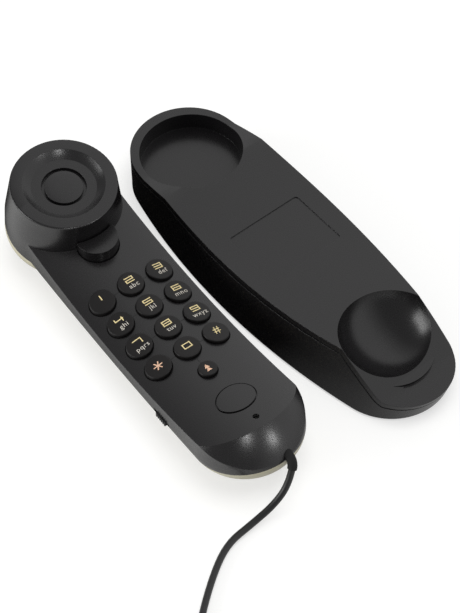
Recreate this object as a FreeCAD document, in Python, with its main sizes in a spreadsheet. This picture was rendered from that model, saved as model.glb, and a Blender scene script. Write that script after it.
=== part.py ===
import FreeCAD, Part
import math
import os
import re
import Sketcher

from FreeCAD import Placement, Rotation, Vector

# Driving dimensions in millimetres, degrees and counts
DIMENSIONS = {
    # Where the handset lies beside the cradle
    "handset_x": 1.365,
    "handset_y": -42.695,
    "handset_yaw": -2.96,
    "cradle_x": 1.365,
    "cradle_y": 34.605,
    # Handset housing
    "face_height": 28.0,
    "face_bend": 320.0,
    "face_crown": 76.0,
    "back_bend": 900.0,
    "side_half_width": 27.0,
    "side_height": 18.5,
    "side_round": 12.0,
    "rim_half_width": 25.2,
    "front_depth": 17.5,
    "cover_wall": 2.0,
    "ear_reach": 76.3,
    "mic_reach": 66.0,
    "chin_axis": 61.0,
    "chin_top_radius": 19.0,
    "chin_top_height": 38.3,
    "chin_foot_radius": 33.2,
    "chin_foot_height": 22.0,
    "chin_bulge": 1.2,
    "lip_height": 1.8,
    "lip_wall": 1.2,
    # Earpiece tower
    "tower_height": 51.0,
    "tower_tilt": 8.0,
    "tower_top_radius": 25.6,
    "tower_waist_radius": 28.4,
    "tower_waist_depth": 21.0,
    "tower_foot_radius": 28.8,
    "tower_foot_depth": 33.0,
    "tower_depth": 47.0,
    "tower_edge": 1.0,
    "land_radius": 19.6,
    "dish_floor_radius": 15.6,
    "dish_depth": 3.0,
    "disc_gap_radius": 10.8,
    "disc_gap_depth": 5.0,
    "disc_radius": 9.2,
    "disc_height": 2.6,
    "sound_hole_radius": 0.5,
    "sound_hole_ring": 10.0,
    "sound_hole_count": 12,
    # Keypad
    "row_pitch": 15.0,
    "column_pitch": 16.0,
    "key_radius": 6.2,
    "key_rise": 1.8,
    "key_gap": 0.35,
    "key_flange": 0.8,
    "key_flange_top": 2.2,
    "key_depth": 4.2,
    "key_travel": 1.2,
    "key_edge": 0.45,
    "redial_place": 38.3,
    "redial_radius": 4.4,
    "pip_radius": 3.0,
    "mat_sheet": 1.2,
    "mat_length": 72.0,
    "mat_width": 40.0,
    "mat_place": 6.0,
    "board_length": 104.0,
    "board_width": 44.0,
    "board_height": 15.4,
    "board_thick": 1.6,
    "board_place": -5.0,
    # Badge and microphone
    "badge_place": 59.3,
    "badge_length": 18.6,
    "badge_width": 14.6,
    "badge_gap": 0.6,
    "badge_rise": 0.4,
    "badge_depth": 1.0,
    "mic_place": 73.6,
    "mic_hole_radius": 1.5,
    "mic_radius": 3.0,
    "mic_length": 3.0,
    "mic_top": 33.4,
    "boot_wall": 1.4,
    # Hook plunger under the earpiece
    "hook_place": -50.0,
    "hook_radius": 10.0,
    "hook_top": 37.0,
    "hook_gap": 0.4,
    "hook_flange": 1.2,
    "hook_flange_top": 2.4,
    "hook_flange_thick": 2.0,
    "hook_stem_radius": 3.2,
    "hook_stem_foot": 24.2,
    "hook_travel": 3.5,
    "hook_back_radius": 25.9,
    "spring_wire": 0.8,
    "spring_radius": 6.4,
    "spring_turns": 5,
    "spring_top": 26.0,
    "switch_length": 7.0,
    "switch_width": 6.0,
    "switch_height": 3.2,
    # Ringer slide on the left wall
    "slide_place": 40.0,
    "slide_height": 17.6,
    "slide_slot_length": 11.5,
    "slide_slot_width": 3.6,
    "slide_knob_length": 7.0,
    "slide_knob_width": 3.0,
    "slide_knob_face": 27.7,
    "slide_travel": 2.0,
    # Ringer disc and cover screws
    "ringer_place": 12.0,
    "ringer_radius": 12.0,
    "ringer_height": 4.8,
    "cover_screw_head": 2.4,
    "cover_screw_radius": 1.2,
    "cover_screw_seat": 11.0,
    "cover_screw_length": 11.0,
    # Cord gland
    "gland_side": 4.0,
    "gland_height": 25.0,
    "gland_radius": 2.2,
    "gland_inner": 82.0,
    "gland_face": 92.0,
    "gland_bend_radius": 5.0,
    "gland_turn": 75.0,
    "gland_swing": 27.0,
    # Cradle
    "cradle_far": -104.0,
    "cradle_tip": 104.0,
    "base_half_width": 38.5,
    "base_end_radius": 30.0,
    "top_far": -104.6,
    "top_tip": 111.0,
    "top_half_width": 31.2,
    "top_far_radius": 29.0,
    "top_tip_radius": 17.0,
    "block_height": 30.0,
    "base_height": 1.0,
    "bed_height": 23.8,
    "bed_middle": 6.0,
    "bed_sag_radius": 560.0,
    "far_shoulder": -55.0,
    "far_land": -74.0,
    "far_land_height": 23.4,
    "tip_shoulder": 66.0,
    "tip_land": 93.0,
    "tip_land_height": 12.4,
    "tray_thick": 2.4,
    "shadow_gap": 0.7,
    "hull_wall": 2.2,
    "recess_centre": -73.0,
    "recess_radius": 26.0,
    "recess_floor": 13.5,
    "bowl_centre": 73.0,
    "bowl_height": 34.5,
    "bowl_radius": 25.8,
    "boss_radius": 21.5,
    "boss_rise": 1.6,
    "card_length": 33.0,
    "card_width": 43.0,
    "card_place": -1.0,
    "card_depth": 0.5,
    "card_corner": 2.0,
    "plate_thick": 2.0,
    "foot_radius": 6.0,
    "foot_thick": 1.6,
    "foot_reach": 66.0,
    "foot_spread": 22.0,
    "ballast_length": 90.0,
    "ballast_width": 40.0,
    "ballast_thick": 4.0,
    "screw_radius": 1.5,
    "screw_head_radius": 2.8,
    "screw_head": 1.8,
    # Line cord
    "cord_radius": 1.6,
    "coil_inner_radius": 9.5,
    "coil_step": 4.3,
    "coil_lift": 3.8,
    "coil_turns": 3.625,
    "coil_height": 2.6,
    "coil_x": 168.4,
    "coil_y": -112.2,
    "tie_thick": 0.9,
    "tie_width": 7.0,
    "tie_angle": 20.0,
    "plug_x": 223.0,
    "plug_axis": 3.3,
    "plug_length": 15.0,
    "plug_width": 9.6,
    "plug_height": 6.6,
}

KEYS = (
    ("key_1", "key_2", "key_3"),
    ("key_4", "key_5", "key_6"),
    ("key_7", "key_8", "key_9"),
    ("key_star", "key_0", "key_hash"),
)

doc = FreeCAD.newDocument("CradlePhone")
sheet = doc.addObject("Spreadsheet::Sheet", "dims")
for row, (name, size) in enumerate(DIMENSIONS.items(), start=1):
    sheet.set(f"A{row}", name)
    sheet.set(f"B{row}", str(size))
    sheet.setAlias(f"B{row}", name)
doc.recompute()
nodes = []


# Sizes and formulas
def formula(text):
    """A formula with each dimension's name written as its cell of the sheet."""
    def cell(word):
        return "dims." + word[0] if word[0] in DIMENSIONS else word[0]
    return re.sub(r"[a-z_]+", cell, str(text))


def number(text):
    """The value of a formula."""
    return float(sheet.evalExpression(formula(text)))


def bind(thing, **formulas):
    """Tie properties of an object to formulas of the sheet."""
    for name, text in formulas.items():
        thing.setExpression(name, formula(text))


def move(thing, x=0, y=0, z=0):
    """Tie an object's place to formulas of the sheet."""
    for axis, text in zip("xyz", (x, y, z)):
        thing.setExpression("Placement.Base." + axis, formula(text))


# Solids
def cylinder(name, radius, height, x=0, y=0, z=0):
    thing = doc.addObject("Part::Cylinder", name)
    bind(thing, Radius=radius, Height=height)
    move(thing, x, y, z)
    return thing


def rod(name, radius, length, x, y, z, axis):
    """A cylinder that lies along the given axis from its place."""
    thing = cylinder(name, radius, length)
    thing.Placement.Rotation = Rotation(Vector(0, 0, 1), axis)
    move(thing, x, y, z)
    return thing


def box(name, length, width, height, x=0, y=0, z=0):
    """A box centred on x and y that stands on z."""
    thing = doc.addObject("Part::Box", name)
    bind(thing, Length=length, Width=width, Height=height)
    move(thing, f"{x} - ({length}) / 2", f"{y} - ({width}) / 2", z)
    return thing


def fuse(name, *parts):
    thing = doc.addObject("Part::MultiFuse", name)
    thing.Shapes = list(parts)
    return thing


def common(name, *parts):
    thing = doc.addObject("Part::MultiCommon", name)
    thing.Shapes = list(parts)
    return thing


def cut(name, base, tool):
    thing = doc.addObject("Part::Cut", name)
    thing.Base = base
    thing.Tool = tool
    return thing


# Sketches
def plane_of(body, role):
    return next(plane for plane in body.Origin.OriginFeatures if plane.Role == role)


def pin(sketch, edge, pair):
    """Hold the end of an edge at a point of the outline."""
    place = Vector(number(pair[0]), number(pair[1]), 0)
    end = min((1, 2), key=lambda which: sketch.getPoint(edge, which).distanceToPoint(place))
    for kind, text in zip(("DistanceX", "DistanceY"), pair):
        held = sketch.addConstraint(Sketcher.Constraint(kind, edge, end, number(text)))
        if isinstance(text, str):
            sketch.setExpression(f"Constraints[{held}]", formula(text))


def outline(body, name, role, path, origin_height=0):
    """Draw a closed outline of lines and of arcs, written as (middle point, end point)."""
    sketch = body.newObject("Sketcher::SketchObject", name)
    sketch.AttachmentSupport = [(plane_of(body, role), "")]
    sketch.MapMode = "FlatFace"
    sketch.AttachmentOffset = Placement(Vector(0, number(origin_height), 0), Rotation())
    start = path[0]
    for step in path[1:] + path[:1]:
        arc = isinstance(step[0], tuple)
        end = step[1] if arc else step
        first, last = (Vector(number(pair[0]), number(pair[1]), 0) for pair in (start, end))
        if first.distanceToPoint(last) < 1e-6:
            continue
        if arc:
            middle = Vector(number(step[0][0]), number(step[0][1]), 0)
            edge = sketch.addGeometry(Part.Arc(first, middle, last), False)
        else:
            edge = sketch.addGeometry(Part.LineSegment(first, last), False)
        pin(sketch, edge, start)
        pin(sketch, edge, end)
        start = end
    return sketch


def revolved(name, role, path, axis, angle=360, origin_height=0, midplane=True):
    """A body turned from an outline about its sketch's own axis."""
    body = doc.addObject("PartDesign::Body", name)
    sketch = outline(body, name + "_outline", role, path, origin_height)
    turn = body.newObject("PartDesign::Revolution", name + "_turn")
    turn.Profile = sketch
    turn.ReferenceAxis = (sketch, [axis])
    turn.Midplane = midplane
    turn.Angle = number(angle)
    return body


def extruded(name, role, path, length):
    """A body padded both ways from an outline."""
    body = doc.addObject("PartDesign::Body", name)
    sketch = outline(body, name + "_outline", role, path)
    pad = body.newObject("PartDesign::Pad", name + "_pad")
    pad.Profile = sketch
    pad.Midplane = True
    bind(pad, Length=length)
    return body


def node(thing, label, placement=None):
    """Name a finished piece and put it in its place."""
    if any("Placement" in path for path, text in thing.ExpressionEngine):
        group = doc.addObject("Part::Compound", label + "_placed")
        group.Links = [thing]
        thing = group
    thing.Label = label
    if placement is not None:
        thing.Placement = placement.multiply(thing.Placement)
    nodes.append((label, thing))
    return thing


def handset_node(thing, label):
    yaw = Rotation(Vector(0, 0, 1), number("handset_yaw"))
    return node(thing, label, Placement(Vector(number("handset_x"), number("handset_y"), 0), yaw))


def cradle_node(thing, label):
    return node(thing, label, Placement(Vector(number("cradle_x"), number("cradle_y"), 0), Rotation()))


# The handset's bent and crowned face
BAND_HALF = 34.0
BEND_ANGLE = 44.0


def crown_level(drop):
    """Height, from the bend's axis, of the crowned face at the band's edge."""
    return f"-face_bend - face_crown + sqrt((face_crown - ({drop}))^2 - {BAND_HALF}^2)"


def face_band(name, top, bottom):
    """The layer between two depths below the face."""
    path = [
        (-BAND_HALF, crown_level(top)),
        ((0, f"-face_bend - ({top})"), (BAND_HALF, crown_level(top))),
        (BAND_HALF, crown_level(bottom)),
        ((0, f"-face_bend - ({bottom})"), (-BAND_HALF, crown_level(bottom))),
    ]
    return revolved(name, "YZ_Plane", path, "H_Axis", BEND_ANGLE, "face_height + face_bend")


def below_face(name, top):
    """Everything below a depth under the face."""
    path = [
        (-BAND_HALF, crown_level(top)),
        ((0, f"-face_bend - ({top})"), (BAND_HALF, crown_level(top))),
        (BAND_HALF, "-face_bend - 60"),
        (-BAND_HALF, "-face_bend - 60"),
    ]
    return revolved(name, "YZ_Plane", path, "H_Axis", BEND_ANGLE, "face_height + face_bend")


def level_band(name, top, bottom):
    """The bent layer between two depths below the face's middle line, flat across."""
    half = BAND_HALF + 10
    path = [
        (-half, f"-face_bend - ({top})"),
        (half, f"-face_bend - ({top})"),
        (half, f"-face_bend - ({bottom})"),
        (-half, f"-face_bend - ({bottom})"),
    ]
    return revolved(name, "YZ_Plane", path, "H_Axis", BEND_ANGLE, "face_height + face_bend")


# The handset's trough: side walls, rounded flanks and back
def trough_points(inset):
    """Corner points of half of the trough's section, from its top edge to its lowest point."""
    half, height, flank = (number(text) for text in ("side_half_width", "side_height", "side_round"))
    centre = half - flank
    back = (centre**2 + height**2 - flank**2) / (2 * (height - flank))
    lean = math.atan2(centre, back - height)
    meet = (back * math.sin(lean), back - back * math.cos(lean))
    scale = (back - inset) / back
    meet = (meet[0] * scale, back - (back - meet[1]) * scale)
    middle_angle = (math.pi / 2 - lean) / 2
    middle = (
        centre + (flank - inset) * math.cos(middle_angle),
        height - (flank - inset) * math.sin(middle_angle),
    )
    low = (0, inset)
    bend = (
        (back - inset) * math.sin(lean / 2),
        back - (back - inset) * math.cos(lean / 2),
    )
    top = (f"rim_half_width - {inset}", 60.0)
    wide = (f"side_half_width - {inset}", "side_height")
    return top, wide, middle, meet, bend, low


def mirrored(pair):
    across = pair[0]
    return (f"-({across})" if isinstance(across, str) else -across, pair[1])


def back_turn(angle):
    """Swing a body about the axis of the back's bend, towards the microphone end."""
    return Placement(Vector(), Rotation(Vector(0, 1, 0), -angle), Vector(0, 0, number("back_bend")))


def trough_angles():
    """How far the bent length of the trough reaches towards the earpiece and the microphone."""
    reach = number("back_bend - side_height")
    return [math.degrees(math.asin(number(name) / reach)) for name in ("ear_reach", "mic_reach")]


def trough_length(name, inset, spare=0):
    """The long bent part of the trough, longer at both ends by a spare angle."""
    top, wide, middle, meet, bend, low = trough_points(inset)
    ear_angle, mic_angle = trough_angles()
    drop = number("back_bend")

    def lowered(pair):
        return (pair[0], f"{pair[1]} - back_bend" if isinstance(pair[1], str) else pair[1] - drop)

    steps = [top, wide, (middle, meet), (low, mirrored(meet)), (mirrored(middle), mirrored(wide)), mirrored(top)]
    path = []
    for step in steps:
        if isinstance(step[0], tuple):
            path.append((lowered(step[0]), lowered(step[1])))
        else:
            path.append(lowered(step))
    angle = mic_angle + ear_angle + 2 * spare
    body = revolved(name, "YZ_Plane", path, "H_Axis", angle, "back_bend")
    body.Placement = back_turn((mic_angle - ear_angle) / 2)
    return body


def trough_end(name, inset, angle):
    """The round end of the trough at the microphone."""
    top, wide, middle, meet, bend, low = trough_points(inset)
    path = [(0, 60.0), top, wide, (middle, meet), (bend, low)]
    body = revolved(name, "XZ_Plane", path, "V_Axis", angle)
    body.Placement = back_turn(trough_angles()[1])
    return body


def chin_tool(name, inset):
    """What is cut away in front of the sloping chin."""
    top = number("chin_top_radius") - inset, number("chin_top_height") - inset
    foot = number("chin_foot_radius") - inset, number("chin_foot_height") - inset
    run, fall = foot[0] - top[0], top[1] - foot[1]
    length = math.hypot(run, fall)
    bulge = number("chin_bulge") / length
    middle = ((top[0] + foot[0]) / 2 + fall * bulge, (top[1] + foot[1]) / 2 + run * bulge)
    path = [top, (middle, foot), (60.0, foot[1]), (60.0, 70.0), (top[0], 70.0)]
    body = revolved(name, "XZ_Plane", path, "V_Axis", 180)
    move(body, "chin_axis")
    return body


# The earpiece tower, turned about its own tilted axis
def tower_place():
    return Placement(
        Vector(-number("ear_reach"), 0, number("tower_height")),
        Rotation(Vector(0, 1, 0), number("tower_tilt")),
    )


def tower(name, inset):
    flank = f"side_round - {inset}"
    centre = "(tower_foot_radius - side_round)"
    middle = (f"{centre} + ({flank}) * 0.70711", f"-tower_foot_depth - ({flank}) * 0.70711")
    foot = (f"tower_foot_radius - {inset}", "-tower_foot_depth")
    under = (centre, f"-tower_foot_depth - ({flank})")
    bottom = (0, f"-tower_depth + {inset}")
    waist = (f"tower_waist_radius - {inset}", "-tower_waist_depth")
    if inset:
        lid = f"-disc_gap_depth - {inset}"
        top = [(f"tower_top_radius - {inset}", lid), (0, lid)]
    else:
        bend = "tower_edge * 0.29289"
        top = [
            ("tower_top_radius", "-tower_edge"),
            ((f"tower_top_radius - {bend}", f"-{bend}"), ("tower_top_radius - tower_edge", 0)),
            ("land_radius", 0),
            (
                ("(land_radius + dish_floor_radius) / 2 - 0.6", "-dish_depth / 2 - 0.6"),
                ("dish_floor_radius", "-dish_depth"),
            ),
            ("disc_gap_radius", "-dish_depth"),
            ("disc_gap_radius", "-disc_gap_depth"),
            (0, "-disc_gap_depth"),
        ]
    path = [bottom, under, (middle, foot), waist] + top
    body = revolved(name, "XZ_Plane", path, "V_Axis", 360)
    body.Placement = tower_place()
    return body


def length_piece(name, inset, spare=0):
    """The handset's long middle, or the hollow inside it."""
    return common(name, below_face(name + "_face", inset), trough_length(name + "_trough", inset, spare))


def end_piece(name, inset, angle):
    """The handset's microphone end, or the hollow inside it."""
    round_end = common(name + "_round", below_face(name + "_face", inset), trough_end(name + "_trough", inset, angle))
    return cut(name, round_end, chin_tool(name + "_chin", inset))


# Keys, their wells and the mat below them
def key_places():
    places = []
    for row, names in enumerate(KEYS):
        for column, label in enumerate(names):
            along = f"row_pitch * {row - 1.5}"
            across = f"column_pitch * {column - 1}"
            places.append((label, along, across, "key_radius"))
    return places + [("redial_key", "redial_place", "0", "redial_radius")]


def top_edges(shape, height):
    """Edges that lie above a height."""
    return [
        (index, number("key_edge"), number("key_edge"))
        for index, edge in enumerate(shape.Edges, start=1)
        if edge.BoundBox.ZMin > height and edge.Curve.TypeId != "Part::GeomLine"
    ]


def make_keys(cap_layer, flange_layer):
    for label, along, across, radius in key_places():
        shaft = cylinder(label + "_shaft", radius, 60, along, across, 0)
        cap = common(label + "_cap", shaft, cap_layer)
        disc = cylinder(label + "_disc", f"{radius} + key_flange", 60, along, across, 0)
        flange = common(label + "_flange", disc, flange_layer)
        whole = fuse(label + "_whole", cap, flange)
        doc.recompute()
        rounded = doc.addObject("Part::Fillet", label + "_rounded")
        rounded.Base = whole
        highest = cap.Shape.BoundBox.ZMax - 4.2
        rounded.Edges = top_edges(whole.Shape, highest)
        handset_node(rounded, label)


def key_wells():
    return fuse("key_wells", *[
        cylinder(label + "_well", f"{radius} + key_gap", 60, along, across, 0)
        for label, along, across, radius in key_places()
    ])


def make_mat():
    sheet_base = "board_height + board_thick"
    slab = box("mat_slab", "mat_length", "mat_width", "mat_sheet", "mat_place", "0", sheet_base)
    pips = [
        cylinder(label + "_pip", "pip_radius", 40, along, across, sheet_base)
        for label, along, across, radius in key_places()
    ]
    under_keys = below_face("under_keys", "key_depth + key_travel + 0.1")
    handset_node(common("mat_trim", fuse("mat_raw", slab, *pips), under_keys), "keypad_mat")


def make_board():
    board = box("board", "board_length", "board_width", "board_thick", "board_place", "0", "board_height")
    holes = fuse("board_holes", *[
        cylinder(f"board_hole_{index}", "cover_screw_radius + 0.15", 20, x, y, 10)
        for index, (x, y) in enumerate(POSTS)
    ])
    handset_node(cut("board_drilled", board, holes), "main_board")


# Hook plunger with its spring and switch
def hook_shape(name, radius):
    """The half-moon of the plunger, hollowed round the tower."""
    disc = cylinder(name + "_disc", radius, 60, "hook_place", "0", 0)
    clear = f"hook_back_radius - ({radius} - hook_radius)"
    back = cylinder(name + "_back", clear, 60, "-ear_reach", "0", 0)
    return cut(name, disc, back)


def make_hook(flange_layer):
    lid = box("hook_lid", 60, 60, 40, "hook_place", "0", "hook_top - 40")
    cap = common("hook_cap", hook_shape("hook_moon", "hook_radius"), lid, face_band("hook_body", -40, 3))
    flange = common("hook_flange_ring", hook_shape("hook_rim", "hook_radius + hook_flange"), flange_layer)
    stem_height = "face_height - hook_stem_foot"
    stem = cylinder("hook_stem", "hook_stem_radius", stem_height, "hook_place + 4", "0", "hook_stem_foot")
    handset_node(fuse("hook_whole", cap, flange, stem), "hook_plunger")


def make_hook_switch():
    foot = "board_height + board_thick"
    place = "hook_place + 4"
    case = box("switch_case", "switch_length", "switch_width", "switch_height", place, "0", foot)
    pin_height = "hook_stem_foot - hook_travel - switch_height - board_height - board_thick - 0.1"
    stud = cylinder("switch_stud", 1.2, pin_height, place, "0", f"{foot} + switch_height")
    handset_node(fuse("switch_whole", case, stud), "hook_switch")


# Tubes along a path of tangent arcs
def biarc(start, start_way, end, end_way):
    """Two tangent arcs from one point and direction to another."""
    gap = end - start
    ways = start_way + end_way
    a = 2 * (1 - start_way.dot(end_way))
    b = 2 * gap.dot(ways)
    c = -gap.dot(gap)
    if abs(a) < 1e-9:
        reach = -c / b
    else:
        reach = (-b + math.sqrt(b * b - 4 * a * c)) / (2 * a)
    knee_in = start + start_way * reach
    knee_out = end - end_way * reach
    joint = (knee_in + knee_out) * 0.5
    return [tangent_arc(start, start_way, joint), tangent_arc(joint, knee_out - knee_in, end)]


def tangent_arc(start, way, end):
    """The arc from a point, in a direction, to another point."""
    chord = end - start
    way = Vector(way).normalize()
    along = chord.dot(way)
    side = chord - way * along
    if side.Length < 1e-6:
        return Part.LineSegment(start, end)
    half_turn = math.atan2(side.Length, along)
    radius = chord.Length / (2 * math.sin(half_turn))
    side.normalize()
    middle = start + way * (radius * math.sin(half_turn)) + side * (radius * (1 - math.cos(half_turn)))
    return Part.Arc(start, middle, end)


def section_ring(radius, start, way, sides):
    """A round or many-sided section square to a direction."""
    if not sides:
        return Part.Wire([Part.makeCircle(radius, start, way)])
    across = way.cross(Vector(0, 0, 1)).normalize()
    up = across.cross(way)
    corners = []
    for index in range(sides + 1):
        angle = 2 * math.pi * (index + 0.5) / sides
        corners.append(start + across * (radius * math.cos(angle)) + up * (radius * math.sin(angle)))
    return Part.makePolygon(corners)


def tube(curves, radius, sides=0):
    """A tube along joined curves, round unless a number of sides is given."""
    wire = Part.Wire([curve.toShape() for curve in curves])
    first = wire.Edges[0]
    start = first.valueAt(first.FirstParameter)
    ring = section_ring(radius, start, first.tangentAt(first.FirstParameter), sides)
    solid = wire.makePipeShell([ring], True, False)
    section = Part.Face(ring).Area
    share = solid.Volume / (section * wire.Length)
    print(f"tube: length {wire.Length:.1f} mm, volume over section times length {share:.4f}")
    return solid


def rounded_route(points):
    """Straight runs joined by arcs as large as the runs allow."""
    curves = []
    leave = points[0]
    for before, corner, after in zip(points, points[1:], points[2:]):
        way_in = Vector(corner - before).normalize()
        way_out = Vector(after - corner).normalize()
        shorter = min((corner - before).Length, (after - corner).Length)
        turn = way_in.getAngle(way_out)
        radius = 0.45 * shorter / math.tan(turn / 2)
        print(f"  turn {math.degrees(turn):.0f} degrees, radius {radius:.1f} mm")
        start = corner - way_in * (0.45 * shorter)
        end = corner + way_out * (0.45 * shorter)
        curves.append(Part.LineSegment(leave, start))
        curves.append(tangent_arc(start, way_in, end))
        leave = end
    curves.append(Part.LineSegment(leave, points[-1]))
    return curves


def least_gap(centres, radius, skip):
    """Smallest clear distance between parts of a tube that aren't neighbours along it."""
    gap = 1e9
    for index, point in enumerate(centres):
        for other in centres[index + skip:]:
            gap = min(gap, point.distanceToPoint(other) - 2 * radius)
    return gap


def feature(label, shape):
    thing = doc.addObject("Part::Feature", label + "_solid")
    thing.Shape = shape
    return thing


def make_spring(under_flange):
    """The return spring that stands on the board under the plunger's flange."""
    wire, radius = number("spring_wire") / 2, number("spring_radius")
    turns = int(number("spring_turns"))
    foot = number("board_height + board_thick") + wire
    rise = (under_flange - foot - wire) / turns
    x = number("hook_place + 4")

    def at(turn):
        angle = 2 * math.pi * turn
        return Vector(x + radius * math.cos(angle), radius * math.sin(angle), foot + rise * turn)

    def way(turn):
        angle = 2 * math.pi * turn
        swing = 2 * math.pi * radius
        return Vector(-swing * math.sin(angle), swing * math.cos(angle), rise).normalize()

    curves = []
    for quarter in range(turns * 4):
        start, end = quarter / 4, quarter / 4 + 0.25
        curves += biarc(at(start), way(start), at(end), way(end))
    handset_node(feature("hook_spring", tube(curves, wire, 6)), "hook_spring")


# Ringer slide on the left wall
def make_slide():
    knob_reach = "slide_knob_face - 22.5"
    knob = box(
        "slide_knob", "slide_knob_length", knob_reach, "slide_knob_width",
        "slide_place", f"-(slide_knob_face + 22.5) / 2", "slide_height - slide_knob_width / 2",
    )
    ribs = [
        box(f"slide_groove_{index}", 0.6, 1.0, 10, f"slide_place + {index * 1.2}", "-slide_knob_face", "slide_height - 5")
        for index in range(-2, 3)
    ]
    handset_node(cut("slide_ribbed", knob, fuse("slide_grooves", *ribs)), "ringer_slide")
    case = box("slide_case", 5.6, 1.8, 3.6, "slide_place", "-21.2", "board_height + board_thick")
    handset_node(case, "slide_switch")


def slide_slot():
    return box(
        "slide_slot", "slide_slot_length", 12, "slide_slot_width",
        "slide_place", "-26", "slide_height - slide_slot_width / 2",
    )


# Microphone, badge, disc, capsules and gland
def make_mic():
    capsule = cylinder("mic_capsule", "mic_radius", "mic_length", "mic_place", "0", "mic_top - mic_length")
    handset_node(capsule, "microphone")
    sleeve = cylinder("boot_outer", "mic_radius + boot_wall", "mic_length + 1", "mic_place", "0", "mic_top - mic_length - 1")
    bore = cylinder("boot_bore", "mic_radius", "mic_length", "mic_place", "0", "mic_top - mic_length")
    handset_node(cut("boot", sleeve, bore), "microphone_boot")


def oval(name, length, width, x):
    """An upright oval prism, long across the handset."""
    thing = doc.addObject("Part::Cylinder", name + "_round")
    bind(thing, Radius=f"({width}) / 2", Height=60)
    doc.recompute()
    stretch = FreeCAD.Matrix()
    stretch.scale(1, number(f"({length}) / ({width})"), 1)
    solid = doc.addObject("Part::Feature", name)
    solid.Shape = thing.Shape.transformGeometry(stretch)
    move(solid, x)
    return solid


def make_badge():
    plug = oval("badge_prism", "badge_length", "badge_width", "badge_place")
    layer = face_band("badge_layer", "-badge_rise", "badge_depth")
    handset_node(common("badge_trim", plug, layer), "oval_badge")


def badge_seat():
    prism = oval("seat_prism", "badge_length + 2 * badge_gap", "badge_width + 2 * badge_gap", "badge_place")
    return common("badge_seat", prism, face_band("seat_layer", -3, "badge_depth"))


def make_earpiece():
    crown = [
        (0, "-disc_gap_depth"),
        ("disc_radius", "-disc_gap_depth"),
        ("disc_radius", "-disc_height - 0.6"),
        ("disc_radius * 0.8", "-disc_height - 0.3"),
        ("disc_radius * 0.5", "-disc_height - 0.08"),
        ("disc_radius * 0.25", "-disc_height"),
        (0, "-disc_height"),
    ]
    disc = revolved("disc_body", "XZ_Plane", crown, "V_Axis", 360)
    disc.Placement = tower_place()
    handset_node(disc, "earpiece_disc")
    lid = "(disc_gap_depth + cover_wall)"
    can = [
        (0, f"-{lid} - 9"),
        (14, f"-{lid} - 9"),
        (17, f"-{lid} - 5"),
        (19, f"-{lid} - 5"),
        (19, f"-{lid}"),
        (0, f"-{lid}"),
    ]
    capsule = revolved("capsule_body", "XZ_Plane", can, "V_Axis", 360)
    capsule.Placement = tower_place()
    handset_node(capsule, "receiver_capsule")


def sound_holes():
    """A ring of holes in the floor of the gap round the earpiece disc."""
    count = int(number("sound_hole_count"))
    holes = []
    for index in range(count):
        angle = 2 * math.pi * index / count
        hole = cylinder(f"sound_hole_{index}", "sound_hole_radius", 6)
        spot = Vector(
            number("sound_hole_ring") * math.cos(angle),
            number("sound_hole_ring") * math.sin(angle),
            -number("disc_gap_depth") - 5,
        )
        hole.Placement = tower_place().multiply(Placement(spot, Rotation()))
        holes.append(hole)
    return fuse("sound_holes", *holes)


def gland_bend():
    """Where the gland's bend starts and ends, and the direction it ends in."""
    start = Vector(number("gland_face"), number("gland_side"), number("gland_height"))
    side = Vector(0, -math.sin(math.radians(number("gland_swing"))), -math.cos(math.radians(number("gland_swing"))))
    turn = math.radians(number("gland_turn"))
    radius = number("gland_bend_radius")
    ahead = Vector(1, 0, 0)
    end = start + ahead * (radius * math.sin(turn)) + side * (radius * (1 - math.cos(turn)))
    return start, end, ahead * math.cos(turn) + side * math.sin(turn)


def make_gland():
    """The bent rubber sleeve that holds the cord in the chin."""
    start, end, way = gland_bend()
    inner = Vector(number("gland_inner"), start.y, start.z)
    curves = [Part.LineSegment(inner, start), tangent_arc(start, Vector(1, 0, 0), end)]
    sleeve = feature("gland_sleeve", tube(curves, number("gland_radius")))
    flange = rod("gland_flange", "gland_radius + 0.9", 2, "gland_inner", "gland_side", "gland_height", Vector(1, 0, 0))
    handset_node(fuse("gland_whole", sleeve, flange), "cord_gland")


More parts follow.
